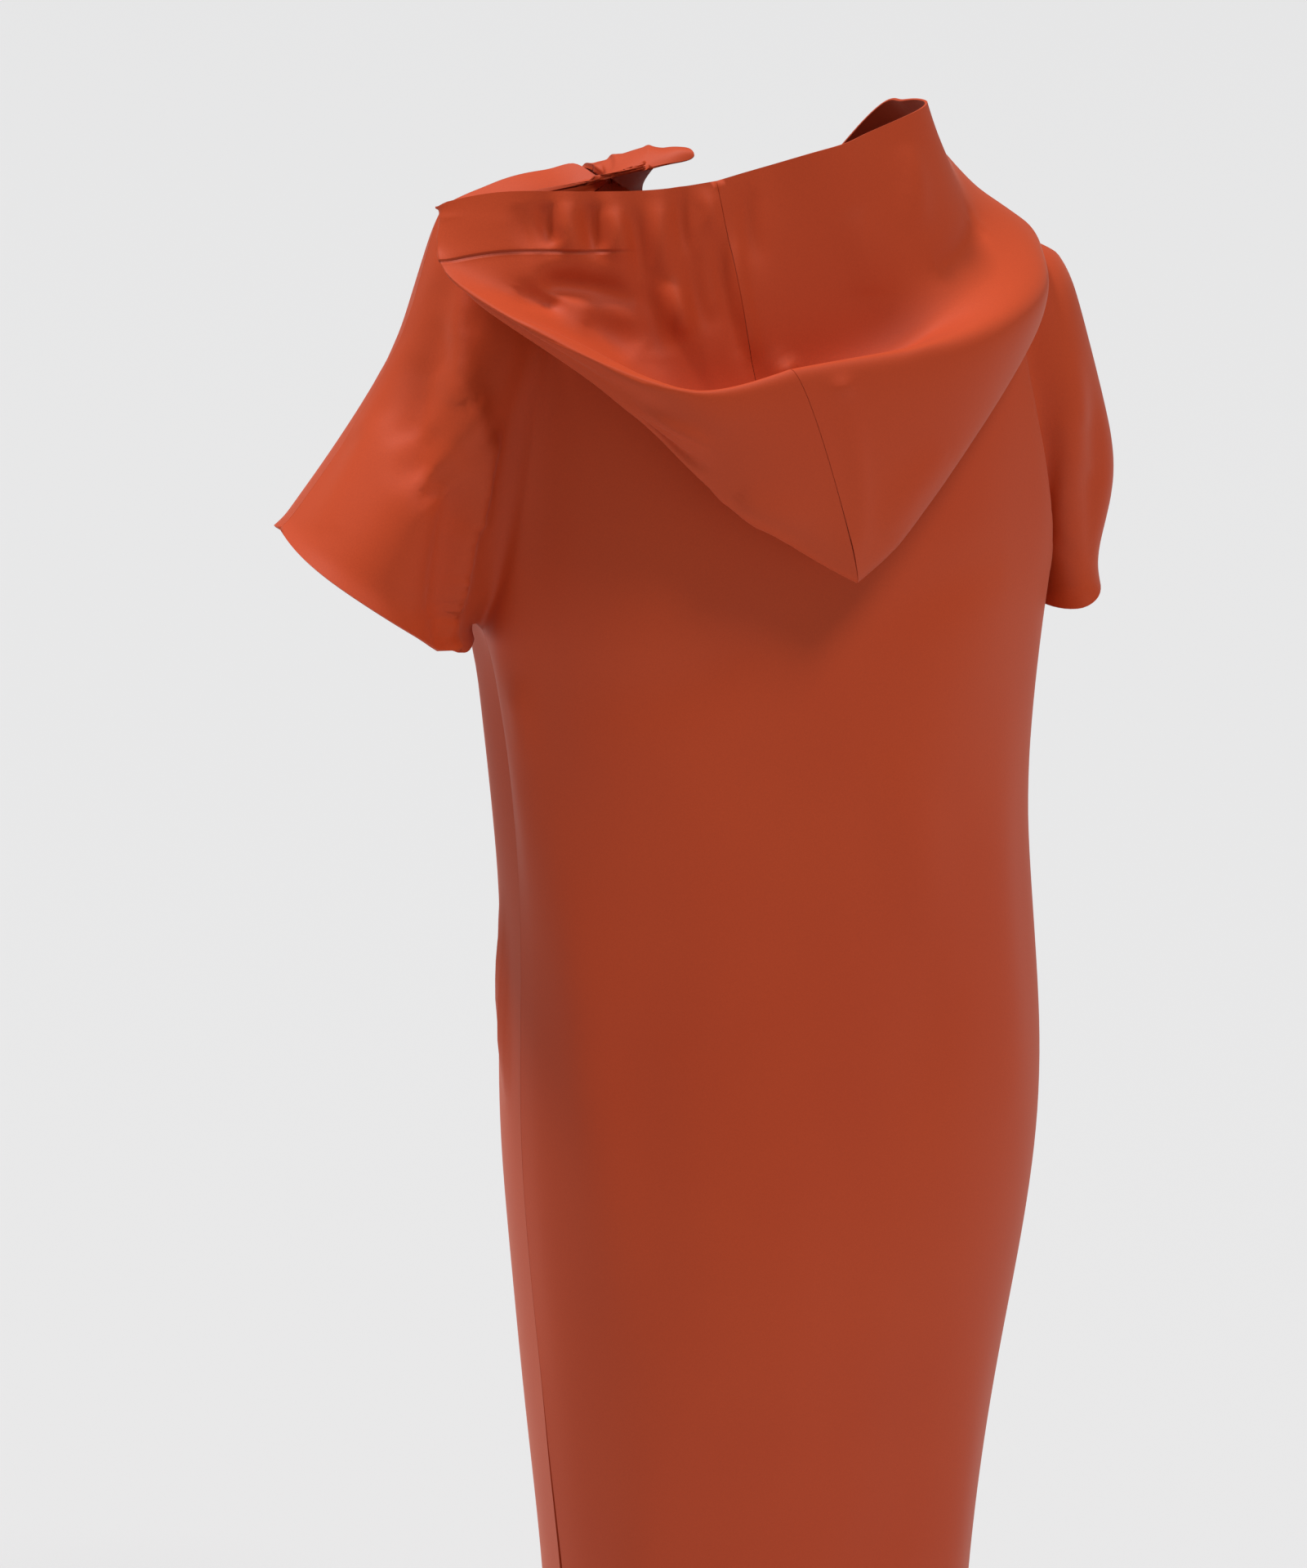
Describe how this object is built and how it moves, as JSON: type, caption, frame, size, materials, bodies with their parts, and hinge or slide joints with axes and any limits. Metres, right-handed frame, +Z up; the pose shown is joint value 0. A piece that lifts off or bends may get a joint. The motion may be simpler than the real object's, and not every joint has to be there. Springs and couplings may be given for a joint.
{
  "type": "hoodie dress",
  "caption": "Knee-length hoodie dress in heavy crepe, hollow as worn: short wide kimono sleeves, side slits, and a large soft hood lying down behind the neck.",
  "frame": {"origin": "between the wearer's shoulders at the base of the neck, where the shoulders hold the dress", "axes": "+Z up; the wearer faces -Y; +X is the wearer's left side"},
  "size_m": [0.5666, 0.2998, 1.2149],
  "materials": {
    "crepe": "matte-smooth heavy crepe"
  },
  "bodies": {
    "root": {"back_panel": "crepe", "front_panel": "crepe", "hood_left": "crepe", "hood_right": "crepe"}
  },
  "joints": []
}
